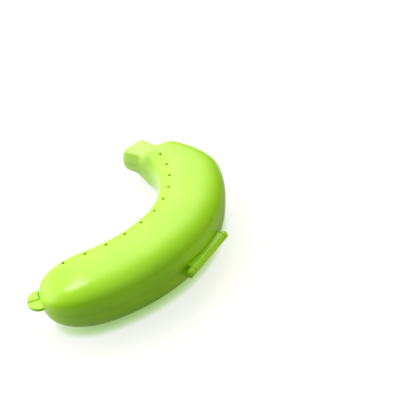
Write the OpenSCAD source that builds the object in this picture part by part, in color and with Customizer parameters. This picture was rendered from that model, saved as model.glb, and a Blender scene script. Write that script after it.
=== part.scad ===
// Banana carrying case: two moulded half shells on a pinned hinge, closed by a moulded snap.
// X runs along the hinge, +Y points to the hinge, Z is up and the case rests on z = 0.

/* [Spine] */
// Bend radius of the vent line on the stem side of the crown
stem_bend_r = 90; // [82:1:98]
// Turn of the vent line from the crown to the stem, in degrees
stem_turn = 82.5; // [78:0.5:86]
// Straight length of the stem
stem_len = 10; // [8:0.5:14]
// Bend radius of the vent line on the tail side of the crown
tail_bend_r = 115; // [106:1:124]
// Turn of the vent line from the crown to the tail, in degrees
tail_turn = 35.5; // [31:0.5:39]
// Straight length at the tail
tail_len = 37; // [33:1:42]

/* [Body] */
// Width of the body at its belly, near the stem
belly_w = 63.6; // [60:0.2:67]
// Width that the body tapers to, before the tail rounds off
tail_w = 58; // [55:0.5:61]
// Distance from the vent line to the body's centre at the belly
belly_shift = 20.8; // [18:0.2:22]
// Distance from the vent line to the body's centre at the tail
tail_shift = 18.2; // [16:0.2:20]
// Height of the parting plane over the table
parting_z = 24.4; // [22:0.2:27]
// Height of the upper shell over the parting plane
upper_h = 24; // [21:0.2:26]
// Height that the upper shell falls to at the tail
upper_tail_h = 17; // [15:0.5:20]
// Depth that the lower shell rises to at the tail
lower_tail_h = 24; // [20:0.5:25]
// Depth by which the round bottom is cut flat, so that the case stands
base_flat = 0.8; // [0.4:0.1:1.2]
// Squareness of the body's section: 2 is an ellipse
section_n = 3.2; // [2.6:0.1:3.6]
// Length over which the tail narrows in plan
tail_round_len = 47; // [42:1:54]
// Squareness of the tail in plan
tail_round_n = 2.4; // [2.2:0.1:2.8]
// Length over which the tail closes in height
tail_close_len = 48; // [42:1:54]
// Squareness of the tail in height
tail_close_n = 2.4; // [2.2:0.1:2.8]

/* [Stem and neck] */
// Width of the stem
stem_w = 32.4; // [29:0.2:35]
// Height of the stem
stem_h = 25.2; // [22:0.2:27]
// Width of the stem's flat top
stem_flat = 26.6; // [22:0.2:28]
// Rise of the stem's crowned top over its edges
stem_crown = 0.6; // [0.3:0.1:1]
// Height of the upright band on each side of the stem's parting line
stem_band = 2.9; // [2.4:0.1:4]
// Where the body starts to widen, measured from the stem's end
neck_w_from = 13; // [10:1:16]
// Where the body has its full width
neck_w_to = 69; // [62:1:74]
// Where the body starts to move off the vent line
neck_shift_from = 5; // [2:0.5:8]
// Where the body's centre has its full shift
neck_shift_to = 67; // [60:1:72]
// Where the upper shell starts to gain height
neck_h_from = 21; // [17:1:24]
// Where the upper shell has its full height
neck_h_to = 34; // [30:1:40]
// Where the lower shell starts to gain depth
neck_low_from = 13; // [10:1:20]
// Where the lower shell has its full depth
neck_low_to = 36; // [32:1:42]

/* [Shell] */
// Wall thickness
wall = 2; // [1.8:0.1:2.4]
// Gap between the two rims
rim_gap = 0.3; // [0.2:0.05:0.5]
// Height of the lower shell's locating lip
lip_h = 2; // [1.5:0.1:2.5]
// Clearance round the lip
lip_clear = 0.3; // [0.25:0.05:0.4]

/* [Stem end] */
// Depth of the recess in the stem's end
recess_depth = 0.4; // [0.3:0.05:0.5]
// Width of the rim left round the recess
recess_rim = 3; // [2:0.5:5]

/* [Vents] */
// Diameter of a vent hole
vent_d = 2.4; // [1.8:0.1:3.5]
// Distance between vent holes along the vent line
vent_pitch = 17.8; // [16:0.1:18.4]
// Distance of the middle vent hole from the crown, along the vent line
vent_middle = -4.2; // [-6:0.1:4]
// Vent holes on each side of the middle one
vents_each_side = 5; // [3:1:5]

/* [Hinge] */
// Length of the hinge over its end knuckles
hinge_len = 58.6; // [50:0.2:62]
// Distance of the hinge's middle from the crown
hinge_middle = -3.6; // [-5:0.1:0]
// Length of an end knuckle
end_knuckle_len = 5.8; // [5:0.1:9]
// Diameter of the knuckles
knuckle_d = 7; // [6.4:0.2:8]
// Gap between the knuckles and the body's wall, at the crown
hinge_clear = 0.4; // [0.35:0.05:1.2]
// Gap between knuckles
knuckle_gap = 0.4; // [0.3:0.05:0.6]
// Rounding of the knuckles' outer ends
knuckle_round = 3; // [1:0.1:3.1]
// Thickness of the webs that carry the knuckles
web_t = 2.2; // [1.8:0.1:2.6]
// Thickness of the rib that closes each end of the hinge
rib_t = 1.2; // [1:0.1:1.8]
// Distance from the parting plane down to the top of that rib
rib_drop = 1.2; // [0.8:0.1:1.6]
// Diameter of the hinge pin
pin_d = 3; // [2:0.1:3.4]
// Radial clearance of the lid's knuckle on the pin
pin_clear = 0.08; // [0.04:0.01:0.1]
// Solid end left on the tail-side knuckle
knuckle_cap = 2; // [1.5:0.1:3]
// Radial clearance of the pin in the end knuckles that hold it
seat_clear = 0.02; // [0.01:0.01:0.03]
// Distance from the pin's ends to the ends of its bore
pin_inset = 0.3; // [0.2:0.1:0.8]

/* [Finger tabs] */
// Radius of the tabs round the tail's tip
tab_r = 10; // [9:0.5:13]
// Thickness of a tab
tab_t = 3; // [2.4:0.1:3.5]
// How far the tabs' centre lies inside the tail's tip
tab_inset = 0.5; // [0.5:0.1:3]
// How far the tabs reach below the parting plane
tab_low = 1.2; // [0.8:0.1:1.6]
// Gap between the two tabs, seen from above
tab_split = 0.8; // [0.3:0.05:1.2]
// Gap between a tab and the wall of the half that it does not belong to
tab_gap = 0.8; // [0.5:0.1:1.2]

/* [Snap] */
// Length of the snap's two ledges along the wall
snap_len = 18; // [15:0.5:22]
// Distance that the ledges stand out from the wall at the crown
snap_out = 5.2; // [4.8:0.1:6]
// Thickness of each ledge
snap_t = 2.2; // [1.8:0.1:3]
// Rounding of the ledges' corners, seen from above
snap_round = 4; // [2:0.2:4.4]
// Length of the slot in the lid's ledge
slot_len = 10.6; // [8:0.2:12]
// Width of the strip outside the slot
slot_strip = 1.7; // [1.4:0.1:2]
// Thickness of the hook that goes through the slot
hook_t = 0.9; // [0.8:0.1:1.2]
// Extra thickness of the bulb at the hook's top
hook_bulb = 0.3; // [0.2:0.05:0.4]
// Height of the hook over the lid's ledge
hook_rise = 1.2; // [0.8:0.1:1.6]
// Clearance of the hook in its slot
hook_clear = 0.4; // [0.35:0.05:0.5]

/* [Resolution] */
// Sections along the body, up to where the tail rounds off
body_steps = 30; // [20:1:40]
// Sections round the tail
tail_steps = 14; // [10:1:18]

/* [Hidden] */
shell_color = [0.72, 0.90, 0.30];
pin_color = [0.78, 0.79, 0.80];
// Steps round half a section; a multiple of 12, so that the stem's edges fall on steps
ring_steps = 24;
// The last section of the tail as an angle of its round, outside and inside; 90 would be a point
tail_end_angle = 81;
tail_inner_angle = 78;
deg = 180 / PI;

// Stations along the vent line: 0 at the crown, negative towards the stem
stem_s = -(stem_len + stem_bend_r * stem_turn / deg);
tail_s = tail_bend_r * tail_turn / deg + tail_len;
round_s = tail_s - tail_round_len;

function mix(a, b, t) = a + (b - a) * t;
function ease(t) = let (u = min(max(t, 0), 1)) u * u * (3 - 2 * u);
function between(s, from, to) = ease((s - from) / (to - from));

// Share of the way through the neck, for the body's width, height and centre
function neck_w(s) = between(s - stem_s, neck_w_from, neck_w_to);
function neck_h(s) = between(s - stem_s, neck_h_from, neck_h_to);
function neck_low(s) = between(s - stem_s, neck_low_from, neck_low_to);
function neck_shift(s) = between(s - stem_s, neck_shift_from, neck_shift_to);
// Share of the way from the neck to the tail
function taper(s) = between(s, stem_s + neck_h_to, tail_s);
function fall(s) = between(s, 0, tail_s);

// Superelliptic closing of the tail: 1 up to its start, 0 at its tip
function closing(s, len, n, inset) =
    let (u = min(max((s - tail_s + len) / (len - inset), 0), 1))
    pow(1 - pow(u, n), 1 / n);

function half_width(s, inset = 0) =
    (mix(stem_w, mix(belly_w, tail_w, taper(s)), neck_w(s)) / 2 - inset)
    * closing(s, tail_round_len, tail_round_n, inset);

function half_height(s, up, inset = 0) =
    let (body = mix(up ? upper_h : parting_z + base_flat, up ? upper_tail_h : lower_tail_h, fall(s)))
    (mix(stem_h / 2, body, up ? neck_h(s) : neck_low(s)) - inset)
    * closing(s, tail_close_len, tail_close_n, inset);

function shift(s) = mix(belly_shift, tail_shift, taper(s)) * neck_shift(s);
crown_shift = shift(0);

// Heading of the vent line, and its plan point; the body's centre at the crown is the origin
function heading(s) =
    s < 0 ? min(-s * deg / stem_bend_r, stem_turn) : -min(s * deg / tail_bend_r, tail_turn);
function spine(s) =
    let (h = heading(s), r = s < 0 ? stem_bend_r : tail_bend_r, a = abs(h), rest = abs(s) - r * a / deg)
    [sign(s) * (r * sin(a) + rest * cos(a)), -r * (1 - cos(a)) - rest * sin(a) - crown_shift];
function across(s) = let (h = heading(s)) [-sin(h), cos(h)];

// Unit half sections: a superellipse for the body, a chamfered box for the stem
stem_edge = stem_flat / stem_w;
stem_side = 2 * stem_band / stem_h;
stem_dip = 2 * stem_crown / stem_h;
stem_x = [[0, 1], [15, 1], [60, stem_edge], [120, -stem_edge], [165, -1], [180, -1]];
stem_y = [[0, 0], [15, stem_side], [60, 1 - stem_dip], [75, 1 - stem_dip / 4], [90, 1],
    [105, 1 - stem_dip / 4], [120, 1 - stem_dip], [165, stem_side], [180, 0]];
function soft(v, n) = sign(v) * pow(abs(v), 2 / n);
function unit(s, a) =
    let (t = max(neck_w(s), neck_h(s)))
    [mix(lookup(a, stem_x), soft(cos(a), section_n), t), mix(lookup(a, stem_y), soft(sin(a), section_n), t)];

// A point of a shell's skin, inset from the outer skin; angle 0 is the hinge side
function skin(s, a, up, inset) =
    let (u = unit(s, a), p = spine(s) + (shift(s) + half_width(s, inset) * u.x) * across(s))
    let (z = parting_z + (up ? 1 : -1) * half_height(s, up, inset) * u.y)
    [p.x, p.y, max(z, inset)];

// Station of section i on a skin at an inset: even steps to the tail, then steps round it
function station(i, inset) =
    let (end = mix(tail_end_angle, tail_inner_angle, inset / wall))
    i <= body_steps
    ? mix(stem_s + inset, round_s, i / body_steps)
    : round_s + (tail_round_len - inset) * pow(sin(end * (i - body_steps) / tail_steps), 2 / tail_round_n);

// The stepped rim: the lid's skirt goes outside the lower shell's lip
sections = body_steps + tail_steps;
lid_inset = (wall - lip_clear) / 2;
base_inset = (wall + lip_clear) / 2;
function at_z(p, z) = [p.x, p.y, z];
function rim_point(i, a, up, inset, z) = at_z(skin(station(i, inset), a, up, inset), z);
function outer_arc(i, up, rim_z) =
    [for (k = [0 : ring_steps])
        let (p = skin(station(i, 0), 180 * k / ring_steps, up, 0))
        at_z(p, up ? max(p.z, rim_z) : min(p.z, rim_z))];
// A point of the lid's inner skin, moved up so that the skin starts over the skirt
function raised(p, i, from_z) =
    let (h = half_height(station(i, wall), true, wall))
    at_z(p, mix(from_z, parting_z + h, (p.z - parting_z) / h));
function lid_loop(i) =
    let (rim_z = parting_z + rim_gap / 2, top_z = parting_z + lip_h + rim_gap)
    concat(
        outer_arc(i, true, rim_z),
        [for (z = [rim_z, top_z]) rim_point(i, 180, true, lid_inset, z)],
        [for (k = [ring_steps : -1 : 0])
            raised(skin(station(i, wall), 180 * k / ring_steps, true, wall), i, top_z)],
        [for (z = [top_z, rim_z]) rim_point(i, 0, true, lid_inset, z)]);
function base_loop(i) =
    let (rim_z = parting_z - rim_gap / 2, top_z = parting_z + lip_h)
    concat(
        outer_arc(i, false, rim_z),
        [for (z = [rim_z, top_z]) rim_point(i, 180, false, base_inset, z)],
        [rim_point(i, 180, false, wall, top_z)],
        [for (k = [ring_steps : -1 : 0]) skin(station(i, wall), 180 * k / ring_steps, false, wall)],
        [rim_point(i, 0, false, wall, top_z)],
        [for (z = [top_z, rim_z]) rim_point(i, 0, false, base_inset, z)]);

// A lofted half shell: walls between the loops, and a stepped end wall at each end.
// The loops hold the outer arc, two step points, the inner arc and two step points.
module loft(loops, flip) {
    n = len(loops[0]);
    last = len(loops) - 1;
    left = [0, n - 1, n - 2, n - 3];
    right = [for (k = [0 : 3]) ring_steps + k];
    function turned(f) = flip ? [for (k = [len(f) - 1 : -1 : 0]) f[k]] : f;
    function shifted(f, i) = [for (k = f) k + i * n];
    // Strips across an arc of points, from its feet up to its top
    function strips(from, to) = [for (k = [0 : floor((to - from - 1) / 2)])
        let (a = from + k, b = to - k)
        b - a > 2 ? [a, a + 1, b - 1, b] : [a, a + 1, b]];
    end_wall = concat(
        strips(0, ring_steps),
        strips(ring_steps + 3, n - 3),
        [for (k = [0 : 2]) [left[k], right[k], right[k + 1], left[k + 1]]]);
    sides = [for (i = [0 : last - 1], j = [0 : n - 1])
        let (a = i * n + j, b = i * n + (j + 1) % n)
        each [[a, a + n, b + n], [a, b + n, b]]];
    finish = [for (f = end_wall) shifted([for (k = [len(f) - 1 : -1 : 0]) f[k]], last)];
    faces = concat(sides, end_wall, finish);
    polyhedron([for (l = loops) each l], [for (f = faces) turned(f)], convexity = 8);
}

module lid_loft() {
    loft([for (i = [0 : sections]) lid_loop(i)], false);
}

module base_loft() {
    loft([for (i = [0 : sections]) base_loop(i)], true);
}

// A sunk panel in the stem's end, in the shape of the stem
module stem_recess() {
    angles = [0, 15, 60, 75, 90, 105, 120, 165, 180];
    half = [for (a = angles)
        [(stem_w / 2 - recess_rim) * lookup(a, stem_x), (stem_h / 2 - recess_rim) * lookup(a, stem_y)]];
    translate([spine(stem_s).x, spine(stem_s).y, parting_z])
        rotate(heading(stem_s))
            rotate([90, 0, 90])
                translate([0, 0, -1])
                    linear_extrude(1 + recess_depth)
                        polygon(concat(half, [for (k = [len(half) - 2 : -1 : 1]) [half[k].x, -half[k].y]]));
}

module vents() {
    for (k = [-vents_each_side : vents_each_side]) {
        p = spine(vent_middle + k * vent_pitch);
        translate([p.x, p.y, parting_z])
            cylinder(h = upper_h + wall, d = vent_d, $fn = 24);
    }
}

// Ribs, tabs and ledges are rooted this deep in the wall, clear of the lip behind it
root = lid_inset / 2;
// Plan of the wall at that depth, as [x, y] pairs: +1 is the hinge side
wall_reach = 60;
wall_step = 3;
function wall_line(side) =
    [for (s = [-wall_reach : wall_step : wall_reach])
        spine(s) + (shift(s) + side * (half_width(s) - root)) * across(s)];
hinge_wall = wall_line(1);
snap_wall = wall_line(-1);

// Plan between the wall and a line at y, from x0 to x1
module wall_plan(x0, x1, y, line) {
    steps = 8;
    along = [for (k = [0 : steps]) let (x = mix(x1, x0, k / steps)) [x, lookup(x, line)]];
    polygon(concat([[x0, y], [x1, y]], along));
}

// The hinge: axis along X, outside the wall at the crown, in the parting plane
crown_w = half_width(0);
knuckle_r = knuckle_d / 2;
hinge_y = crown_w + knuckle_r + hinge_clear;
hinge_x0 = hinge_middle - hinge_len / 2;
hinge_x1 = hinge_middle + hinge_len / 2;
lid_x0 = hinge_x0 + end_knuckle_len + knuckle_gap;
lid_x1 = hinge_x1 - end_knuckle_len - knuckle_gap;
pin_x1 = hinge_x1 - knuckle_cap;

module along_hinge(x) {
    translate([x, hinge_y, parting_z])
        rotate([0, 90, 0])
            children();
}

module pin_bore(clear) {
    along_hinge(hinge_x0 - 1)
        cylinder(h = pin_x1 - hinge_x0 + 1, r = pin_d / 2 + clear, $fn = 48);
}

// The lid's long knuckle hangs on a web that leaves the wall at the knuckle's top
module lid_knuckle() {
    along_hinge(lid_x0)
        cylinder(h = lid_x1 - lid_x0, r = knuckle_r, $fn = 64);
    translate([0, 0, parting_z + knuckle_r - web_t])
        linear_extrude(web_t)
            wall_plan(lid_x0, lid_x1, hinge_y, hinge_wall);
}

// A short knuckle with a rounded outer end, standing on the XY plane
module end_knuckle() {
    r = knuckle_round;
    h = end_knuckle_len;
    rotate_extrude($fn = 64) {
        square([knuckle_r, h - r]);
        square([knuckle_r - r, h]);
        translate([knuckle_r - r, h - r])
            intersection() {
                circle(r, $fn = 48);
                square(r);
            }
    }
}

// A rib from the wall round the lower half of a knuckle's outer end, starting at x
module end_rib(x) {
    h = knuckle_r - rib_drop;
    translate([0, 0, parting_z - knuckle_r])
        linear_extrude(h)
            wall_plan(x, x + rib_t, hinge_y, hinge_wall);
    intersection() {
        along_hinge(x)
            cylinder(h = rib_t, r = knuckle_r, $fn = 64);
        translate([x, hinge_y - knuckle_r, parting_z - knuckle_r])
            cube([rib_t, knuckle_d, h]);
    }
}

// An end knuckle sits in the corner of a floor and an end rib, both under the rim
module base_knuckle(side) {
    outer_x = side > 0 ? hinge_x1 : hinge_x0;
    inner_x = outer_x - side * end_knuckle_len;
    along_hinge(inner_x)
        rotate([side > 0 ? 0 : 180, 0, 0])
            end_knuckle();
    translate([0, 0, parting_z - knuckle_r])
        linear_extrude(web_t)
            wall_plan(min(inner_x, outer_x), max(inner_x, outer_x), hinge_y, hinge_wall);
    end_rib(side > 0 ? hinge_x1 - rib_t : hinge_x0);
}

// Plan of the tail inside its outer skin by inset
tip = spine(tail_s) + shift(tail_s) * across(tail_s);
function tail_edge(a, inset) =
    [for (i = [body_steps : sections]) let (p = skin(station(i, inset), a, true, inset)) [p.x, p.y]];

module tail_plan(inset) {
    far = tail_edge(180, inset);
    polygon(concat(tail_edge(0, inset), [for (k = [tail_steps : -1 : 0]) far[k]]));
}

// Plan of one tab: half a disc round the tail's tip, the lid's on the hinge side and the base's on the other
module tab_plan(up, inset) {
    difference() {
        translate(tip)
            rotate(heading(tail_s))
                translate([-tab_inset, 0])
                    intersection() {
                        circle(tab_r, $fn = 96);
                        translate([-tab_r, up ? tab_split / 2 : -tab_r])
                            square([2 * tab_r, tab_r - tab_split / 2]);
                    }
        tail_plan(inset);
    }
}

// Both tabs lie at one level across the parting plane; each is rooted in the wall of its own half only
module finger_tab(up) {
    low = parting_z - tab_low;
    rim = parting_z + (up ? rim_gap : -rim_gap) / 2;
    translate([0, 0, low])
        linear_extrude(tab_t)
            tab_plan(up, -tab_gap);
    translate([0, 0, up ? rim : low])
        linear_extrude(up ? low + tab_t - rim : rim - low)
            tab_plan(up, root);
}

// The snap: the lid's slotted ledge goes down over a hook that stands on the base's ledge.
// Distances are outwards from the wall at the crown, and heights are over the parting plane.
slot_outer = snap_out - slot_strip;
slot_w = hook_t + hook_bulb + 2 * hook_clear;
hook_inner = slot_outer - slot_w + hook_clear;
hook_top = rim_gap / 2 + snap_t + hook_rise;
hook_x = slot_len / 2 - hook_clear;

// Plan of a ledge that stands out from the wall and has rounded corners
module ledge_plan() {
    x = snap_len / 2;
    y = -crown_w - snap_out;
    inner_x = x - snap_round;
    wall_plan(-x, x, y + snap_round, snap_wall);
    wall_plan(-inner_x, inner_x, y, snap_wall);
    for (side = [-1, 1])
        translate([side * inner_x, y + snap_round])
            intersection() {
                circle(snap_round, $fn = 64);
                translate([-snap_round, -snap_round])
                    square([2 * snap_round, snap_round]);
            }
}

module lid_ledge() {
    translate([0, 0, parting_z + rim_gap / 2])
        linear_extrude(snap_t)
            difference() {
                ledge_plan();
                translate([-slot_len / 2, -crown_w - slot_outer])
                    square([slot_len, slot_w]);
            }
}

module base_ledge() {
    translate([0, 0, parting_z - rim_gap / 2 - snap_t])
        linear_extrude(snap_t)
            ledge_plan();
}

// A blade along X with a round bulb at its top, which springs under the slot's outer edge
module hook() {
    bulb_d = hook_t + hook_bulb;
    foot = rim_gap / 2 + snap_t / 2;
    translate([-hook_x, -crown_w, parting_z])
        rotate([90, 0, 90])
            linear_extrude(2 * hook_x)
                mirror([1, 0]) {
                    translate([hook_inner, -foot])
                        square([hook_t, foot + hook_top - bulb_d / 2]);
                    translate([hook_inner + bulb_d / 2, hook_top - bulb_d / 2])
                        circle(d = bulb_d, $fn = 48);
                }
}

module upper_shell() {
    color(shell_color)
        difference() {
            union() {
                lid_loft();
                lid_knuckle();
                finger_tab(true);
                lid_ledge();
            }
            vents();
            stem_recess();
            pin_bore(pin_clear);
        }
}

module lower_shell() {
    color(shell_color)
        difference() {
            union() {
                base_loft();
                base_knuckle(1);
                base_knuckle(-1);
                finger_tab(false);
                base_ledge();
                hook();
            }
            stem_recess();
            pin_bore(seat_clear);
        }
}

module hinge_pin() {
    color(pin_color)
        along_hinge(hinge_x0 + pin_inset)
            cylinder(h = pin_x1 - hinge_x0 - 2 * pin_inset, d = pin_d, $fn = 48);
}

upper_shell();
lower_shell();
hinge_pin();
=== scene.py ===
"""Banana carrying case: the visible pieces, their finishes and the studio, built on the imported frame."""
import logging
import math
from collections.abc import Callable
from dataclasses import dataclass, field
from enum import Enum
from typing import Any

import bmesh
import bpy
from bmesh.types import BMEdge, BMesh, BMVert
from bpy.types import Material, Node, NodeSocket, NodeTree, Object
from mathutils import Matrix, Vector


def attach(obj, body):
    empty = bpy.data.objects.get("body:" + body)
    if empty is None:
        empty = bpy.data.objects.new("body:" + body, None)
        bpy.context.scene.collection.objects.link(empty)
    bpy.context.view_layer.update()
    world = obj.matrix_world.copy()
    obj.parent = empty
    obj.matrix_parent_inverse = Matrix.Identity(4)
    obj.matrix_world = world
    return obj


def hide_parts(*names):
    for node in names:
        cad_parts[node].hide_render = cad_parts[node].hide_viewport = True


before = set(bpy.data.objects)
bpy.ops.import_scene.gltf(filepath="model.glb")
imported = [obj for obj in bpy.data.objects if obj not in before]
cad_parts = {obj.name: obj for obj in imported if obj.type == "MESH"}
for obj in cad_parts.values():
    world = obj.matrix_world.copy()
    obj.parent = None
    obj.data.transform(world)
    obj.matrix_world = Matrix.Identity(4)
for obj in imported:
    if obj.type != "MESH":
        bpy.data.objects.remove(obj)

log = logging.getLogger("banana_case")

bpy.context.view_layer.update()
MM = 0.001
# Points nearer to each other than this, in millimetres, are one point
WELD = 1e-4
# Step in millimetres that keeps the faces of two joined forms out of one plane
HAIR = 0.01
# Edges that turn by more than this stay sharp in the shading
SHARP = math.radians(32.0)
# Sides of a round bar or disc
ROUND = 96
# Steps of a search by halves
HALVINGS = 48
# Where nearly all values of a noise texture lie
NOISE = {"From_Min": 0.3, "From_Max": 0.7}
WHITE = (1.0, 1.0, 1.0, 1.0)
# Settings of nodes that mix colours or work on numbers
COLORS = {"data_type": "RGBA"}
MOST = {"operation": "MAXIMUM"}
TIMES = {"operation": "MULTIPLY"}
POWER = {"operation": "POWER"}


class Half(Enum):
    """The two halves of the case; the value is the side of the parting plane."""

    LID = 1
    BASE = -1


class Cut(Enum):
    """How a tool acts on a shell."""

    JOIN = "UNION"
    REMOVE = "DIFFERENCE"


def mix(a: float, b: float, t: float) -> float:
    """Blend two values."""
    return a + (b - a) * t


def clamp(t: float) -> float:
    """Hold a share between 0 and 1."""
    return min(max(t, 0.0), 1.0)


def between(s: float, start: float, end: float) -> float:
    """Give the eased share of the way from start to end."""
    u = clamp((s - start) / (end - start))
    return u * u * (3.0 - 2.0 * u)


def lookup(a: float, table: tuple[tuple[float, float], ...]) -> float:
    """Read a table of pairs, with straight lines between them.

    Args:
        a: Where to read.
        table: Pairs in rising order.

    Returns:
        The value at a.
    """
    for (a0, v0), (a1, v1) in zip(table, table[1:]):
        if a <= a1:
            return mix(v0, v1, clamp((a - a0) / (a1 - a0)))
    return table[-1][1]


def halve(low: float, high: float, is_low: Callable[[float], bool]) -> tuple[float, float]:
    """Close in by halves on the place where a test changes.

    Args:
        low: A place where the test holds.
        high: A place where it doesn't.
        is_low: The test.

    Returns:
        The two ends of the last range.
    """
    for _ in range(HALVINGS):
        middle = (low + high) / 2.0
        if is_low(middle):
            low = middle
        else:
            high = middle
    return low, high


def linear(hex_color: str) -> tuple[float, float, float, float]:
    """Turn an sRGB colour into linear values.

    Args:
        hex_color: The colour as # and six hex digits.

    Returns:
        Red, green and blue, and an alpha of 1.
    """
    parts = [int(hex_color[i:i + 2], 16) / 255.0 for i in (1, 3, 5)]
    red, green, blue = (c / 12.92 if c <= 0.04045 else ((c + 0.055) / 1.055) ** 2.4 for c in parts)
    return red, green, blue, 1.0


def add_node(tree: NodeTree, kind: str, settings: dict[str, Any] | None = None, **links: Any) -> Node:
    """Add a shader node, set it and link or set its inputs.

    Args:
        tree: The node tree.
        kind: The node's type name.
        settings: Properties of the node.
        links: Input by name (underscores for spaces) or by i and its number; an output socket or a node's
            first output is linked, and any other value is set.

    Returns:
        The node.
    """
    node = tree.nodes.new(kind)
    for name, value in (settings or {}).items():
        setattr(node, name, value)
    for name, value in links.items():
        key = int(name[1:]) if name[0] == "i" and name[1:].isdigit() else name.replace("_", " ")
        if isinstance(value, Node):
            value = value.outputs[0]
        if isinstance(value, NodeSocket):
            tree.links.new(value, node.inputs[key])
        else:
            node.inputs[key].default_value = value
    return node


def noise(tree: NodeTree, place: NodeSocket | Node, size: float, detail: float = 2.0) -> Node:
    """Add a noise texture with spots of a size in millimetres."""
    return add_node(tree, "ShaderNodeTexNoise", Vector=place, Scale=1.0 / (size * MM), Detail=detail)


def spread(tree: NodeTree, source: Node, low: float, high: float) -> Node:
    """Spread the values of a noise texture from low to high."""
    return add_node(tree, "ShaderNodeMapRange", Value=source, To_Min=low, To_Max=high, **NOISE)


def blend(tree: NodeTree, source: Node, low: str, high: str) -> NodeSocket:
    """Mix two colours by a noise texture."""
    share = spread(tree, source, 0.0, 1.0)
    return add_node(tree, "ShaderNodeMix", COLORS, i0=share, i6=linear(low), i7=linear(high)).outputs[2]


@dataclass(frozen=True)
class Finish:
    """A material made of nodes."""

    name: str

    def start(self) -> tuple[Material, NodeTree, NodeSocket]:
        """Make an empty material.

        Returns:
            The material, its tree and its object coordinates in metres.
        """
        material = bpy.data.materials.new(self.name)
        material.use_nodes = True
        material.node_tree.nodes.clear()
        place = add_node(material.node_tree, "ShaderNodeTexCoord").outputs["Object"]
        return material, material.node_tree, place


@dataclass(frozen=True)
class MouldedPolypropylene(Finish):
    """Lime polypropylene from a polished mould: clear soft highlights, and some light goes in at the edges.

    The stem's end is painted paler than the body: a painted sheen for the light on it.
    The mould's grain is drawn coarser than it is, so that it shows.
    """

    deep: str = "#A8DC20"
    pale: str = "#B0E22C"
    flow_mm: float = 38.0
    # Painted sheen on the stem's end: its colour, how much of it, and where along Y in mm it fades in
    stem: str = "#CDEE8E"
    painted_sheen_share: float = 0.4
    painted_sheen_mm: tuple[float, float] = (-60.0, -96.0)
    smooth: float = 0.14
    dull: float = 0.19
    ior: float = 1.43
    grain_mm: float = 1.6
    grain_detail: float = 3.0
    grain_depth_mm: float = 0.05
    grain_bump: float = 0.04
    wave_mm: float = 24.0
    wave_detail: float = 1.0
    wave_depth_mm: float = 0.6
    wave_bump: float = 0.08
    glow: float = 0.5
    glow_mm: float = 2.5
    glow_reach: tuple[float, float, float] = (0.5, 1.0, 0.15)

    def build(self) -> Material:
        """Make the material.

        Returns:
            The material.
        """
        material, tree, place = self.start()
        grain = noise(tree, place, self.grain_mm, self.grain_detail)
        waves = noise(tree, place, self.wave_mm, self.wave_detail)
        gloss = spread(tree, grain, self.smooth, self.dull)
        green = blend(tree, noise(tree, place, self.flow_mm), self.deep, self.pale)
        # Painted sheen: the colour turns paler towards the stem's end, for the light that falls there
        depth = add_node(tree, "ShaderNodeSeparateXYZ", Vector=place).outputs["Y"]
        start, end = (v * MM for v in self.painted_sheen_mm)
        painted_sheen = add_node(tree, "ShaderNodeMapRange", {"interpolation_type": "SMOOTHSTEP"}, Value=depth,
                        From_Min=start, From_Max=end, To_Max=self.painted_sheen_share)
        color = add_node(tree, "ShaderNodeMix", COLORS, i0=painted_sheen, i6=green, i7=linear(self.stem))
        fine = add_node(tree, "ShaderNodeBump", Strength=self.grain_bump, Distance=self.grain_depth_mm * MM,
                        Height=grain)
        sink = add_node(tree, "ShaderNodeBump", Strength=self.wave_bump, Distance=self.wave_depth_mm * MM,
                        Height=waves, Normal=fine)
        shader = add_node(tree, "ShaderNodeBsdfPrincipled", {"subsurface_method": "RANDOM_WALK"},
                          Base_Color=color.outputs[2], Roughness=gloss, IOR=self.ior,
                          Normal=sink, Subsurface_Weight=self.glow,
                          Subsurface_Scale=self.glow_mm * MM, Subsurface_Radius=self.glow_reach)
        add_node(tree, "ShaderNodeOutputMaterial", Surface=shader)
        return material


@dataclass(frozen=True)
class DrawnSteel(Finish):
    """Drawn steel wire: grey metal with fine marks along its length."""

    dark: str = "#A4A6A8"
    light: str = "#C6C8CA"
    smooth: float = 0.25
    dull: float = 0.42
    mark_mm: float = 0.25
    mark_squeeze: float = 0.05

    def build(self) -> Material:
        """Make the material.

        Returns:
            The material.
        """
        material, tree, place = self.start()
        along = add_node(tree, "ShaderNodeMapping", Vector=place, Scale=(self.mark_squeeze, 1.0, 1.0))
        marks = noise(tree, along, self.mark_mm)
        gloss = spread(tree, marks, self.smooth, self.dull)
        color = blend(tree, marks, self.dark, self.light)
        shader = add_node(tree, "ShaderNodeBsdfPrincipled", Base_Color=color, Roughness=gloss, Metallic=1.0)
        add_node(tree, "ShaderNodeOutputMaterial", Surface=shader)
        return material


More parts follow.
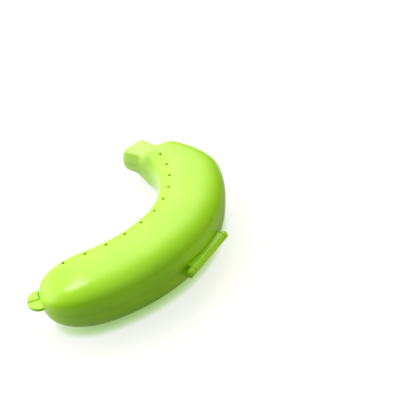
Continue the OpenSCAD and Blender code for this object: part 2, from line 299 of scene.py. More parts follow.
@dataclass(frozen=True)
class PaleFloor(Finish):
    """White table: matt, into the background, with painted shadow and painted green bounce on the case's
    shaded side.

    lift is the white that the camera sees on top of the lit table. The plastic's gloss sees all of it on the
    concave side and gloss_share of it on the hinge side, a painted falloff of light in the table's
    reflection;
    shade_mm is where one passes into the other.
    """

    low: str = "#A4A5A3"
    high: str = "#A8A9A7"
    cloud_mm: float = 60.0
    lift: float = 0.71
    # Painted green bounce and painted shadow next to the case: colour, white left in the shadow, reach,
    # sharpness, samples
    near: str = "#B4EC78"
    painted_shadow_share: float = 0.65
    near_mm: float = 9.0
    near_power: float = 2.0
    near_samples: int = 24
    shade_mm: tuple[float, float] = (-60.0, 20.0)
    gloss_share: float = 0.1

    def build(self) -> Material:
        """Make the material.

        Returns:
            The material.
        """
        material, tree, place = self.start()
        color = blend(tree, noise(tree, place, self.cloud_mm), self.low, self.high)
        matt = add_node(tree, "ShaderNodeBsdfDiffuse", Color=color)
        depth = add_node(tree, "ShaderNodeSeparateXYZ", Vector=place).outputs["Y"]
        back, front = (v * MM for v in self.shade_mm)
        lit = add_node(tree, "ShaderNodeMapRange", Value=depth, From_Min=back, From_Max=front, To_Min=1.0,
                       To_Max=0.0)
        # Which rays see the white
        path = add_node(tree, "ShaderNodeLightPath").outputs
        # Painted reflection: the gloss sees less of the white towards the hinge side
        mirrored = add_node(tree, "ShaderNodeMapRange", Value=lit, To_Min=self.gloss_share)
        gloss = add_node(tree, "ShaderNodeMath", TIMES, i0=path["Is Glossy Ray"], i1=mirrored)
        direct = add_node(tree, "ShaderNodeMath", MOST, i0=path["Is Camera Ray"],
                          i1=path["Is Transmission Ray"])
        seen = add_node(tree, "ShaderNodeMath", MOST, i0=direct, i1=gloss)
        # How free the table is: 1 in the open and 0 right under the case's shaded side; it places the
        # painted shadow and painted green bounce
        free = add_node(tree, "ShaderNodeAmbientOcclusion", {"samples": self.near_samples},
                        Distance=self.near_mm * MM)
        # Painted shadow and painted green bounce only on the hinge side, and never in the gloss
        untinted = add_node(tree, "ShaderNodeMath", MOST, i0=lit, i1=path["Is Glossy Ray"])
        clear = add_node(tree, "ShaderNodeMath", MOST, i0=free.outputs["AO"], i1=untinted)
        pure = add_node(tree, "ShaderNodeMath", POWER, i0=clear, i1=self.near_power)
        # Painted green bounce: the white turns green next to the case
        painted_bounce = add_node(tree, "ShaderNodeMix", COLORS, i0=pure, i6=linear(self.near), i7=WHITE)
        # Painted shadow: less white next to the case
        level = add_node(tree, "ShaderNodeMapRange", Value=clear,
                         To_Min=self.lift * self.painted_shadow_share, To_Max=self.lift)
        strength = add_node(tree, "ShaderNodeMath", TIMES, i0=seen, i1=level)
        glow = add_node(tree, "ShaderNodeEmission", Color=painted_bounce.outputs[2], Strength=strength)
        both = add_node(tree, "ShaderNodeAddShader", i0=matt, i1=glow)
        add_node(tree, "ShaderNodeOutputMaterial", Surface=both)
        return material


@dataclass(frozen=True)
class BodyForm:
    """The banana-shaped body in millimetres: sections along a bent line, from the stem to the tail."""

    stem_bend_r: float = 90.0
    stem_turn: float = math.radians(82.5)
    stem_len: float = 10.0
    tail_bend_r: float = 115.0
    tail_turn: float = math.radians(35.5)
    tail_len: float = 37.0
    belly_w: float = 63.5
    tail_w: float = 58.0
    belly_shift: float = 20.8
    tail_shift: float = 18.2
    parting_z: float = 24.4
    upper_h: float = 23.99
    upper_tail_h: float = 17.0
    lower_tail_h: float = 24.0
    base_flat: float = 0.8
    section_n: float = 3.2
    round_len: float = 47.0
    close_len: float = 48.0
    tail_n: float = 2.4
    stem_w: float = 32.4
    stem_h: float = 25.2
    stem_flat: float = 26.6
    stem_crown: float = 0.6
    stem_band: float = 2.9
    stem_angles: tuple[float, float, float] = (15.0, 60.0, 75.0)
    stem_soft: float = 10.0
    stem_round: float = 1.8
    neck_w: tuple[float, float] = (13.0, 69.0)
    neck_shift: tuple[float, float] = (5.0, 67.0)
    neck_h: tuple[float, float] = (21.0, 34.0)
    neck_low: tuple[float, float] = (13.0, 36.0)
    recess_depth: float = 0.4
    recess_rim: float = 3.0
    recess_edge: float = 0.15
    recess_foot: float = 0.35
    recess_floor: float = 2.0
    wall: float = 2.0
    least_round: float = 0.3
    round_steps: int = 4
    arc_points: int = 61
    body_steps: int = 104
    tail_steps: int = 30

    @property
    def stem_s(self) -> float:
        """Station of the stem's end."""
        return -(self.stem_len + self.stem_bend_r * self.stem_turn)

    @property
    def tail_s(self) -> float:
        """Station of the tail's tip."""
        return self.tail_bend_r * self.tail_turn + self.tail_len

    def neck(self, s: float, span: tuple[float, float]) -> float:
        """Give the share of the way through the neck."""
        return between(s - self.stem_s, *span)

    def taper(self, s: float) -> float:
        """Give the share of the way from the neck to the tail."""
        return between(s, self.stem_s + self.neck_h[1], self.tail_s)

    def closing(self, s: float, length: float, inset: float) -> float:
        """Give the tail's closing: 1 up to its start, 0 at its tip."""
        u = clamp((s - self.tail_s + length) / (length - inset))
        return (1.0 - u ** self.tail_n) ** (1.0 / self.tail_n)

    def half_width(self, s: float, inset: float = 0.0) -> float:
        """Give half the body's width.

        Args:
            s: Station.
            inset: Distance inside the outer skin.

        Returns:
            Half the width.
        """
        body = mix(self.belly_w, self.tail_w, self.taper(s))
        full = mix(self.stem_w, body, self.neck(s, self.neck_w)) / 2.0
        return (full - inset) * self.closing(s, self.round_len, inset)

    def half_height(self, s: float, half: Half, inset: float = 0.0) -> float:
        """Give the height of one half of the body.

        Args:
            s: Station.
            half: Which half.
            inset: Distance inside the outer skin.

        Returns:
            The height from the parting plane.
        """
        fall = between(s, 0.0, self.tail_s)
        if half is Half.LID:
            body, neck = mix(self.upper_h, self.upper_tail_h, fall), self.neck_h
        else:
            body, neck = mix(self.parting_z + self.base_flat, self.lower_tail_h, fall), self.neck_low
        full = mix(self.stem_h / 2.0, body, self.neck(s, neck))
        return (full - inset) * self.closing(s, self.close_len, inset)

    def shift(self, s: float) -> float:
        """Distance from the vent line to the body's centre."""
        return mix(self.belly_shift, self.tail_shift, self.taper(s)) * self.neck(s, self.neck_shift)

    def heading(self, s: float) -> float:
        """Give the heading of the vent line.

        Args:
            s: Station.

        Returns:
            The angle from the X axis, positive on the stem's side.
        """
        if s < 0.0:
            return min(-s / self.stem_bend_r, self.stem_turn)
        return -min(s / self.tail_bend_r, self.tail_turn)

    def spine(self, s: float) -> Vector:
        """Give the plan point of the vent line.

        Args:
            s: Station.

        Returns:
            The point at height 0.
        """
        r = self.stem_bend_r if s < 0.0 else self.tail_bend_r
        a = abs(self.heading(s))
        rest = abs(s) - r * a
        x = math.copysign(r * math.sin(a) + rest * math.cos(a), s)
        return Vector((x, -r * (1.0 - math.cos(a)) - rest * math.sin(a) - self.shift(0.0), 0.0))

    def along(self, s: float) -> Vector:
        """Direction of the vent line, to the tail."""
        return Vector((math.cos(self.heading(s)), math.sin(self.heading(s)), 0.0))

    def across(self, s: float) -> Vector:
        """Direction across the vent line, to the hinge side."""
        return Vector((-math.sin(self.heading(s)), math.cos(self.heading(s)), 0.0))

    def stem_unit(self, a: float) -> tuple[float, float]:
        """Unit section of the stem: an eight-sided bar with soft edges.

        Args:
            a: Angle in degrees, from 0 on the hinge side to 180.

        Returns:
            The point, each part from -1 to 1.
        """
        edge = self.stem_flat / self.stem_w
        side = 2.0 * self.stem_band / self.stem_h
        dip = 2.0 * self.stem_crown / self.stem_h
        top, shoulder = 1.0 - dip, 1.0 - dip / 4.0
        at_band, at_edge, at_crown = self.stem_angles
        x_table = ((-at_band, 1.0), (at_band, 1.0), (at_edge, edge), (180.0 - at_edge, -edge),
                   (180.0 - at_band, -1.0), (180.0 + at_band, -1.0))
        y_table = ((-at_band, -side), (at_band, side), (at_edge, top), (at_crown, shoulder), (90.0, 1.0),
                   (180.0 - at_crown, shoulder), (180.0 - at_edge, top), (180.0 - at_band, side),
                   (180.0 + at_band, -side))
        near = [a + self.stem_soft * k / 2.0 for k in range(-2, 3)]
        return (sum(lookup(b, x_table) for b in near) / len(near),
                sum(lookup(b, y_table) for b in near) / len(near))

    def unit(self, s: float, a: float) -> tuple[float, float]:
        """Unit section at a station.

        Args:
            s: Station.
            a: Angle in degrees, from 0 to 360.

        Returns:
            The point across and up.
        """
        half = a if a <= 180.0 else 360.0 - a
        t = max(self.neck(s, self.neck_w), self.neck(s, self.neck_h))
        c, d = math.cos(math.radians(half)), math.sin(math.radians(half))
        power = 2.0 / self.section_n
        x0, y0 = self.stem_unit(half)
        x = mix(x0, math.copysign(abs(c) ** power, c), t)
        y = mix(y0, max(d, 0.0) ** power, t)
        return x, y if a <= 180.0 else -y

    def rise(self, s: float, a: float, half: Half, inset: float) -> float:
        """Height over the parting plane at an angle of a section, outwards for this half."""
        return self.half_height(s, half, inset) * self.unit(s, a)[1]

    def start_angle(self, s: float, lift: float, half: Half, inset: float) -> float:
        """Find the angle, from 0 to 90 degrees, at which a section rises by lift over the parting plane."""
        return halve(0.0, 90.0, lambda a: self.rise(s, a, half, inset) < lift)[1]

    def arc(self, s: float, half: Half, inset: float, z: float, end_inset: float = 0.0) -> list[Vector]:
        """Points of half a section, from the hinge side at height z to the other side at z.

        Args:
            s: Station.
            half: Which half.
            inset: Distance inside the outer skin.
            z: Height of the border.
            end_inset: More distance inside, for the rings of the stem's end.

        Returns:
            The points.
        """
        deep = inset + end_inset
        lift = half.value * (z - self.parting_z)
        centre = self.spine(s) + self.across(s) * self.shift(s)
        width = self.half_width(s, deep)
        first = self.start_angle(s, lift, half, deep) if lift > 0.0 else 0.0
        count = self.arc_points if lift >= 0.0 else self.arc_points - 2
        points = []
        for k in range(count):
            a = mix(first, 180.0 - first, k / (count - 1))
            height = self.parting_z + half.value * self.rise(s, min(a, 180.0), half, deep)
            flat = centre + self.across(s) * (width * self.unit(s, a)[0])
            points.append(Vector((flat.x, flat.y, max(height, inset))))
        if lift < 0.0:
            first_end, last_end = (Vector((p.x, p.y, z)) for p in (points[0], points[-1]))
            points = [first_end, *points, last_end]
        points[0].z = points[-1].z = z
        return points

    def last_station(self, lift: float, half: Half, inset: float) -> float:
        """Find the station near the tip at which a half rises by lift over the parting plane."""
        return halve(self.tail_s - self.round_len, self.tail_s - inset,
                     lambda s: self.half_height(s, half, inset) > max(lift, 0.0))[0]

    def arcs(self, half: Half, inset: float, z: float) -> list[list[Vector]]:
        """All half sections of a skin, from the middle of the stem's end to the tail's tip.

        Args:
            half: Which half.
            inset: Distance inside the outer skin.
            z: Height of the border.

        Returns:
            The half sections; the last one is a point.
        """
        start = self.stem_s + inset
        soft = max(self.stem_round - inset, self.least_round)
        depth = self.recess_depth if inset == 0.0 else 0.0
        made = [self.arc(start + depth, half, inset, z, self.recess_rim + self.recess_floor),
                self.arc(start + depth, half, inset, z, self.recess_rim + self.recess_foot),
                self.arc(start, half, inset, z, self.recess_rim - self.recess_edge)]
        for k in range(self.round_steps + 1):
            a = math.radians(90.0 * k / self.round_steps)
            back, inwards = soft * (1.0 - math.cos(a)), soft * (1.0 - math.sin(a))
            made.append(self.arc(start + back, half, inset, z, inwards))
        round_s = self.tail_s - self.round_len
        made += [self.arc(mix(start + soft, round_s, k / self.body_steps), half, inset, z)
                 for k in range(1, self.body_steps + 1)]
        last = self.last_station(half.value * (z - self.parting_z), half, inset)
        power = self.tail_n / 2.0
        turn = math.asin(min(((last - round_s) / (self.round_len - inset)) ** power, 1.0))
        for k in range(1, self.tail_steps):
            reach = math.sin(turn * k / self.tail_steps) ** (1.0 / power)
            made.append(self.arc(round_s + (self.round_len - inset) * reach, half, inset, z))
        tip = self.spine(last) + self.across(last) * self.shift(last)
        made.append([Vector((tip.x, tip.y, z))] * self.arc_points)
        return made

    def tip(self) -> Vector:
        """The tail's tip."""
        flat = self.spine(self.tail_s) + self.across(self.tail_s) * self.shift(self.tail_s)
        return Vector((flat.x, flat.y, self.parting_z))

    def add_skin(self, bm: BMesh, half: Half, inset: float, z: float) -> list[Vector]:
        """Add half a skin to a mesh.

        Args:
            bm: The mesh.
            half: Which half.
            inset: Distance inside the outer skin.
            z: Height of the border.

        Returns:
            The points of the border, all the way round.
        """
        arcs = self.arcs(half, inset, z)
        add_net(bm, arcs)
        cap = [bm.verts.new(p) for p in arcs[0]]
        bmesh.ops.contextual_create(bm, geom=cap)
        return ends_of(arcs)

    def border(self, half: Half, inset: float, z: float) -> list[Vector]:
        """Points round a skin at a height, in the order of add_skin."""
        return ends_of(self.arcs(half, inset, z))

    def solid(self, inset: float) -> BMesh:
        """Build a closed body.

        Args:
            inset: Distance inside the outer skin.

        Returns:
            The body.
        """
        bm = bmesh.new()
        for half in Half:
            self.add_skin(bm, half, inset, self.parting_z)
        return closed(bm)


def ends_of(arcs: list[list[Vector]]) -> list[Vector]:
    """Give the ends of half sections as one border, out along one side and back along the other."""
    return [a[0] for a in arcs] + [a[-1] for a in reversed(arcs[:-1])]


def add_net(bm: BMesh, rows: list[list[Vector]]) -> None:
    """Add a net of four-sided faces through rows of points.

    Args:
        bm: The mesh.
        rows: Rows with the same number of points.
    """
    width = len(rows[0])
    verts = bmesh.ops.create_grid(bm, x_segments=width - 1, y_segments=len(rows) - 1, size=1.0)["verts"]
    for k, vert in enumerate(verts):
        vert.co = rows[k // width][k % width]


def closed(bm: BMesh) -> BMesh:
    """Weld the borders that touch and turn all faces outwards.

    Args:
        bm: The mesh.

    Returns:
        The same mesh.
    """
    bmesh.ops.remove_doubles(bm, verts=bm.verts[:], dist=WELD)
    bmesh.ops.recalc_face_normals(bm, faces=bm.faces[:])
    return bm


def to_object(bm: BMesh, name: str) -> Object:
    """Make an object of a mesh and free the mesh.

    Args:
        bm: The mesh in millimetres.
        name: Name of the object.

    Returns:
        The object, linked to the scene.
    """
    mesh = bpy.data.meshes.new(name)
    bm.to_mesh(mesh)
    bm.free()
    obj = bpy.data.objects.new(name, mesh)
    bpy.context.scene.collection.objects.link(obj)
    return obj


def apply_tool(target: Object, tool: Object, cut: Cut) -> None:
    """Join a tool to an object, or cut it out, without using the tool up.

    Args:
        target: The object that changes.
        tool: The other object.
        cut: What is done.
    """
    step = target.modifiers.new("tool", "BOOLEAN")
    step.operation = cut.value
    step.solver = "EXACT"
    step.object = tool
    graph = bpy.context.evaluated_depsgraph_get()
    made = bpy.data.meshes.new_from_object(target.evaluated_get(graph))
    old = target.data
    target.modifiers.clear()
    target.data = made
    bpy.data.meshes.remove(old)


def shade(obj: Object, finish: Material) -> None:
    """Give an object its only material and smooth shading.

    Args:
        obj: The object.
        finish: The material.
    """
    obj.data.materials.clear()
    obj.data.materials.append(finish)
    obj.data.shade_smooth()
    obj.data.set_sharp_from_angle(angle=SHARP)


def discard(obj: Object) -> None:
    """Remove an object and its mesh.

    Args:
        obj: The object.
    """
    mesh = obj.data
    bpy.data.objects.remove(obj)
    bpy.data.meshes.remove(mesh)


def edge_bevel(bm: BMesh, edges: list[BMEdge], size: float, segments: int = 3) -> None:
    """Round edges of a mesh."""
    bmesh.ops.bevel(bm, geom=edges, offset=size, segments=segments, profile=0.5, affect="EDGES", material=-1,
                    clamp_overlap=True)


def block(low: tuple[float, float, float], high: tuple[float, float, float], soft: float = 0.0) -> BMesh:
    """Build a box between two corners.

    Args:
        low: Lower corner.
        high: Upper corner.
        soft: Rounding of its edges.

    Returns:
        The box.
    """
    bm = bmesh.new()
    size = [b - a for a, b in zip(low, high)]
    middle = [(a + b) / 2.0 for a, b in zip(low, high)]
    bmesh.ops.create_cube(bm, size=1.0, matrix=Matrix.Translation(middle) @ Matrix.Diagonal((*size, 1.0)))
    if soft:
        edge_bevel(bm, bm.edges[:], soft, segments=2)
    return bm


def rod(x0: float, x1: float, y: float, z: float, r: float,
        soft: tuple[float, float] = (0.0, 0.0)) -> BMesh:
    """Build a round bar along X.

    Args:
        x0: Its lower end.
        x1: Its upper end.
        y: Place of its axis.
        z: Height of its axis.
        r: Radius.
        soft: Rounding of its lower and its upper end.

    Returns:
        The bar.
    """
    bm = bmesh.new()
    place = Matrix.Translation(((x0 + x1) / 2.0, y, z)) @ Matrix.Rotation(math.pi / 2.0, 4, "Y")
    bmesh.ops.create_cone(bm, cap_ends=True, segments=ROUND, radius1=r, radius2=r, depth=x1 - x0,
                          matrix=place)
    for x, size in zip((x0, x1), soft):
        ends = [e for e in bm.edges if all(abs(v.co.x - x) < WELD for v in e.verts)]
        if size:
            edge_bevel(bm, ends, size, segments=6)
    return bm


def thicken(bm: BMesh, height: float) -> None:
    """Extrude a flat mesh upwards and turn all faces outwards.

    Args:
        bm: The mesh.
        height: Height of the extrusion.
    """
    top = bmesh.ops.extrude_face_region(bm, geom=bm.faces[:])["geom"]
    bmesh.ops.translate(bm, verts=[v for v in top if isinstance(v, BMVert)], vec=(0.0, 0.0, height))
    bmesh.ops.recalc_face_normals(bm, faces=bm.faces[:])


def trim(bm: BMesh, z: float, up: float) -> None:
    """Cut off what lies beyond a height and close the cut.

    Args:
        bm: A closed mesh.
        z: The height.
        up: 1 to cut off what is above, -1 what is below.
    """
    geom = bm.verts[:] + bm.edges[:] + bm.faces[:]
    cut = bmesh.ops.bisect_plane(bm, geom=geom, plane_co=(0.0, 0.0, z), plane_no=(0.0, 0.0, up),
                                 clear_outer=True)["geom_cut"]
    bmesh.ops.contextual_create(bm, geom=[e for e in cut if isinstance(e, BMEdge)])


def plate(outline: list[Vector], low: float, high: float, soft: float) -> BMesh:
    """Build a flat plate from its outline.

    Args:
        outline: Corners of the outline, in plan.
        low: Height of its underside.
        high: Height of its top.
        soft: Rounding of its upper and lower edges.

    Returns:
        The plate.
    """
    bm = bmesh.new()
    bmesh.ops.contextual_create(bm, geom=[bm.verts.new((p.x, p.y, low)) for p in outline])
    thicken(bm, high - low)
    rim = [e for e in bm.edges if abs(e.verts[0].co.z - e.verts[1].co.z) < WELD]
    edge_bevel(bm, rim, soft)
    return bm


@dataclass(frozen=True)
class Rim:
    """The stepped rim, in millimetres: the lid's skirt goes outside the base's lip."""

    gap: float = 0.3
    seam: float = 0.06
    lip_h: float = 2.0
    lip_clear: float = 0.3
    soft: tuple[float, float] = (0.12, 0.25)
    lip_soft: float = 0.3

    def profile(self, half: Half, form: BodyForm) -> list[tuple[float, float]]:
        """Give the rim's profile between the outer and the inner skin.

        Args:
            half: Which half.
            form: The body.

        Returns:
            Pairs of inset and height, from the outside to the inside.
        """
        up = half.value
        z = form.parting_z + up * self.seam / 2.0
        soft = self.soft[0 if half is Half.LID else 1]
        skirt = (form.wall - self.lip_clear) / 2.0
        lip = (form.wall + self.lip_clear) / 2.0
        edge = [(soft * (1.0 - math.cos(a)), z + up * soft * (1.0 - math.sin(a)))
                for a in (math.radians(d) for d in (0.0, 30.0, 60.0, 90.0))]
        if half is Half.LID:
            top = form.parting_z + self.lip_h + self.gap
            return edge + [(skirt, z), (skirt, top), (form.wall, top)]
        top = form.parting_z + self.lip_h
        return edge + [(lip, z), (lip, top - self.lip_soft), (lip + self.lip_soft, top), (form.wall, top)]


@dataclass(frozen=True)
class Hinge:
    """The pinned hinge on the convex side, in millimetres; y is the place of the lid's joint."""

    length: float = 58.6
    middle: float = -3.6
    y: float = 34.3261
    end_len: float = 5.8
    r: float = 3.49
    gap: float = 0.4
    end_round: float = 2.99
    inner_soft: float = 0.2
    knuckle_soft: float = 0.35
    root: float = 14.0
    web_t: float = 2.2
    rib_t: float = 1.2
    rib_drop: float = 1.2
    rib_soft: float = 0.15
    pin_r: float = 1.5
    pin_inset: float = 0.3
    pin_soft: float = 0.3
    lid_bore: float = 1.58
    base_bore: float = 1.52
    cap: float = 2.0
    bore_over: float = 1.0

    def end_x(self, side: float) -> float:
        """Place of an end of the hinge: side 1 is at the tail, -1 at the stem."""
        return self.middle + side * self.length / 2.0

    def knuckle_x(self, side: float) -> float:
        """Place of an end of the lid's knuckle."""
        return self.end_x(side) - side * (self.end_len + self.gap)

    def bore(self, form: BodyForm, r: float) -> BMesh:
        """Build the tool that drills for the pin."""
        return rod(self.end_x(-1.0) - self.bore_over, self.end_x(1.0) - self.cap, self.y, form.parting_z, r)


@dataclass(frozen=True)
class Snap:
    """The moulded snap on the concave side, in millimetres."""

    length: float = 18.0
    out: float = 5.2
    t: float = 2.2
    corner: float = 4.0
    slot_len: float = 10.6
    strip: float = 1.7
    hook_t: float = 0.9
    bulb: float = 0.3
    rise: float = 1.2
    clear: float = 0.4
    soft: float = 0.35
    bulb_soft: float = 0.2
    root: float = 6.0
    corner_steps: int = 8
    slot_over: tuple[float, float] = (1.0, 2.0)

    def outline(self, form: BodyForm) -> list[Vector]:
        """Give the ledge's outline, from inside the wall outwards.

        Args:
            form: The body.

        Returns:
            The corners in plan.
        """
        wall = -form.half_width(0.0)
        x, y = self.length / 2.0, wall - self.out
        points = [Vector((x, wall + self.root)), Vector((-x, wall + self.root))]
        for cx, start in ((-x + self.corner, 180.0), (x - self.corner, 270.0)):
            for k in range(self.corner_steps + 1):
                a = math.radians(start + 90.0 * k / self.corner_steps)
                points.append(Vector((cx + self.corner * math.cos(a),
                                      y + self.corner * (1.0 + math.sin(a)))))
        return points

    def slot(self, form: BodyForm) -> tuple[float, float]:
        """Give the slot's outer and inner edge."""
        outer = -form.half_width(0.0) - self.out + self.strip
        return outer, outer + self.hook_t + self.bulb + 2.0 * self.clear


@dataclass(frozen=True)
class FingerTab:
    """The pair of half-disc tabs round the tail's tip, in millimetres."""

    r: float = 10.0
    t: float = 3.0
    inset: float = 0.5
    low: float = 1.2
    split: float = 0.8
    gap: float = 0.8
    soft: float = 0.3
    edge_turn: float = 0.8

    def build(self, form: BodyForm, half: Half) -> BMesh:
        """Build one tab; both lie at one level across the parting plane.

        Args:
            form: The body.
            half: Which half.

        Returns:
            The tab.
        """
        bm = bmesh.new()
        side = half.value
        bmesh.ops.create_circle(bm, cap_ends=True, segments=ROUND, radius=self.r)
        geom = bm.verts[:] + bm.edges[:] + bm.faces[:]
        bmesh.ops.bisect_plane(bm, geom=geom, plane_co=(0.0, side * self.split / 2.0, 0.0),
                               plane_no=(0.0, side, 0.0), clear_inner=True)
        thicken(bm, self.t)
        edge_bevel(bm, [e for e in bm.edges if e.calc_face_angle(0.0) > self.edge_turn], self.soft)
        place = form.tip() - form.along(form.tail_s) * self.inset - Vector((0.0, 0.0, self.low))
        turn = Matrix.Rotation(form.heading(form.tail_s), 4, "Z")
        bmesh.ops.transform(bm, matrix=Matrix.Translation(place) @ turn, verts=bm.verts[:])
        return bm

    def clearance(self, form: BodyForm, half: Half, rim_z: float) -> BMesh:
        """Build the tool that keeps a tab clear of the other half's wall.

        Args:
            form: The body.
            half: Which half the tab belongs to.
            rim_z: Height of that half's rim.

        Returns:
            The body grown by the gap, on the other half's side of the rim.
        """
        bm = form.solid(-self.gap)
        trim(bm, rim_z, half.value)
        bmesh.ops.recalc_face_normals(bm, faces=bm.faces[:])
        return bm


@dataclass
class HalfShell:
    """One moulded half of the case; root is how deep its features sit in the wall, in millimetres."""

    name: str
    half: Half
    body: str
    form: BodyForm
    finish: Material
    rim: Rim = field(default_factory=Rim)
    hinge: Hinge = field(default_factory=Hinge)
    snap: Snap = field(default_factory=Snap)
    tab: FingerTab = field(default_factory=FingerTab)
    root: float = 0.425

    def loft(self) -> Object:
        """Build the plain shell: outer skin, stepped rim and inner skin.

        Returns:
            The shell.
        """
        steps = self.rim.profile(self.half, self.form)
        bm = bmesh.new()
        rows = [self.form.add_skin(bm, self.half, *steps[0])]
        rows += [self.form.border(self.half, inset, z) for inset, z in steps[1:-1]]
        rows.append(self.form.add_skin(bm, self.half, *steps[-1]))
        add_net(bm, [row + row[:1] for row in rows])
        return to_object(closed(bm), self.name)

    def features(self) -> list[BMesh]:
        """Build what grows out of the wall."""
        return [self.finger_tab(), self.ledge(), *self.hinge_forms()]

    def finger_tab(self) -> BMesh:
        """Build this half's tab, clear of the other half.

        Returns:
            The tab.
        """
        rim_z = self.form.parting_z + self.half.value * self.rim.gap / 2.0
        tab = to_object(self.tab.build(self.form, self.half), "tab")
        tool = to_object(self.tab.clearance(self.form, self.half, rim_z), "clearance")
        apply_tool(tab, tool, Cut.REMOVE)
        bm = bmesh.new()
        bm.from_mesh(tab.data)
        discard(tool)
        discard(tab)
        return bm

    def ledge(self) -> BMesh:
        """Build this half's ledge of the snap.

        Returns:
            The ledge.
        """
        near = self.form.parting_z + self.half.value * self.rim.gap / 2.0
        far = near + self.half.value * self.snap.t
        return plate(self.snap.outline(self.form), min(near, far), max(near, far), self.snap.soft)

    def hinge_forms(self) -> list[BMesh]:
        """Build this half's knuckles and what carries them."""
        return []

    def cutters(self) -> list[BMesh]:
        """Build the tools for this half's holes."""
        return []

    def inserts(self) -> list[BMesh]:
        """Build what stands on the features."""
        return []

    def build(self) -> Object:
        """Build and dress the piece.

        Returns:
            The finished object.
        """
        shell = self.loft()
        core = to_object(self.form.solid(self.root), "core")
        for made in self.features():
            tool = to_object(made, "feature")
            apply_tool(tool, core, Cut.REMOVE)
            apply_tool(shell, tool, Cut.JOIN)
            discard(tool)
        discard(core)
        for made, cut in [(m, Cut.JOIN) for m in self.inserts()] + [(m, Cut.REMOVE) for m in self.cutters()]:
            tool = to_object(made, "feature")
            apply_tool(shell, tool, cut)
            discard(tool)
        return self.dress(shell)

    def dress(self, shell: Object) -> Object:
        """Clean, shade and place the piece.

        Args:
            shell: The shell in millimetres.

        Returns:
            The same object, in metres.
        """
        bm = bmesh.new()
        bm.from_mesh(shell.data)
        bmesh.ops.remove_doubles(bm, verts=bm.verts[:], dist=WELD)
        bmesh.ops.dissolve_degenerate(bm, edges=bm.edges[:], dist=WELD)
        bmesh.ops.scale(bm, vec=(MM, MM, MM), verts=bm.verts[:])
        loose = sum(not e.is_manifold for e in bm.edges)
        bm.to_mesh(shell.data)
        bm.free()
        shade(shell, self.finish)
        even = shell.modifiers.new("even normals", "WEIGHTED_NORMAL")
        even.keep_sharp = True
        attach(shell, self.body)
        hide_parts(self.name.replace("_visual", ""))
        log.info("%s: %d faces, %d edges not closed", self.name, len(shell.data.polygons), loose)
        return shell


@dataclass
class UpperShell(HalfShell):
    """The lid: vents, the long knuckle on its web and the slotted ledge."""

    vent_r: float = 1.2
    vent_soft: float = 0.45
    vent_flare: tuple[tuple[float, float], ...] = (
        (0.0, -6.0), (0.0, -0.5), (0.3, -0.2), (1.0, 0.1), (3.0, 1.2))
    vent_sides: int = 32
    vent_pitch: float = 17.8
    vent_middle: float = -4.2
    vents_each_side: int = 5

    def hinge_forms(self) -> list[BMesh]:
        """Build the long knuckle and the web at its top.

        Returns:
            The web and the knuckle.
        """
        h, y, z = self.hinge, self.hinge.y, self.form.parting_z
        x0, x1 = h.knuckle_x(-1.0), h.knuckle_x(1.0)
        web = block((x0 + 2.0 * HAIR, y - h.root, z + h.r - h.web_t), (x1 - 2.0 * HAIR, y, z + h.r - HAIR))
        return [web, rod(x0, x1, y, z, h.r, (h.knuckle_soft, h.knuckle_soft))]

    def top_z(self, s: float) -> float:
        """Give the height of the lid over the vent line.

        Args:
            s: Station.

        Returns:
            The height over the floor.
        """
        across = -self.form.shift(s) / self.form.half_width(s)
        t = max(self.form.neck(s, self.form.neck_w), self.form.neck(s, self.form.neck_h))
        body = (1.0 - abs(across) ** self.form.section_n) ** (1.0 / self.form.section_n)
        return self.form.parting_z + self.form.half_height(s, Half.LID) * mix(1.0, body, t)

    def vents(self) -> BMesh:
        """Build the tool for the vents: bars with a flared mouth.

        Returns:
            The bars; each step of vent_flare is a share of vent_soft and a height over the lid.
        """
        bm = bmesh.new()
        for k in range(-self.vents_each_side, self.vents_each_side + 1):
            s = self.vent_middle + k * self.vent_pitch
            p, z = self.form.spine(s), self.top_z(s)
            before: list[BMEdge] = []
            for share, rise in self.vent_flare:
                place = Matrix.Translation((p.x, p.y, z + rise))
                verts = bmesh.ops.create_circle(bm, segments=self.vent_sides, matrix=place,
                                                radius=self.vent_r + share * self.vent_soft)["verts"]
                edges = list(dict.fromkeys(e for v in verts for e in v.link_edges))
                if before:
                    bmesh.ops.bridge_loops(bm, edges=before + edges)
                else:
                    bmesh.ops.contextual_create(bm, geom=edges)
                before = edges
            bmesh.ops.contextual_create(bm, geom=before)
        bmesh.ops.recalc_face_normals(bm, faces=bm.faces[:])
        return bm

    def cutters(self) -> list[BMesh]:
        """Build the tools for the vents, the slot and the pin.

        Returns:
            The tools.
        """
        outer, inner = self.snap.slot(self.form)
        z, x = self.form.parting_z, self.snap.slot_len / 2.0
        below, above = self.snap.slot_over
        slot = block((-x, outer, z - below), (x, inner, z + self.snap.t + above))
        return [self.vents(), slot, self.hinge.bore(self.form, self.hinge.lid_bore)]


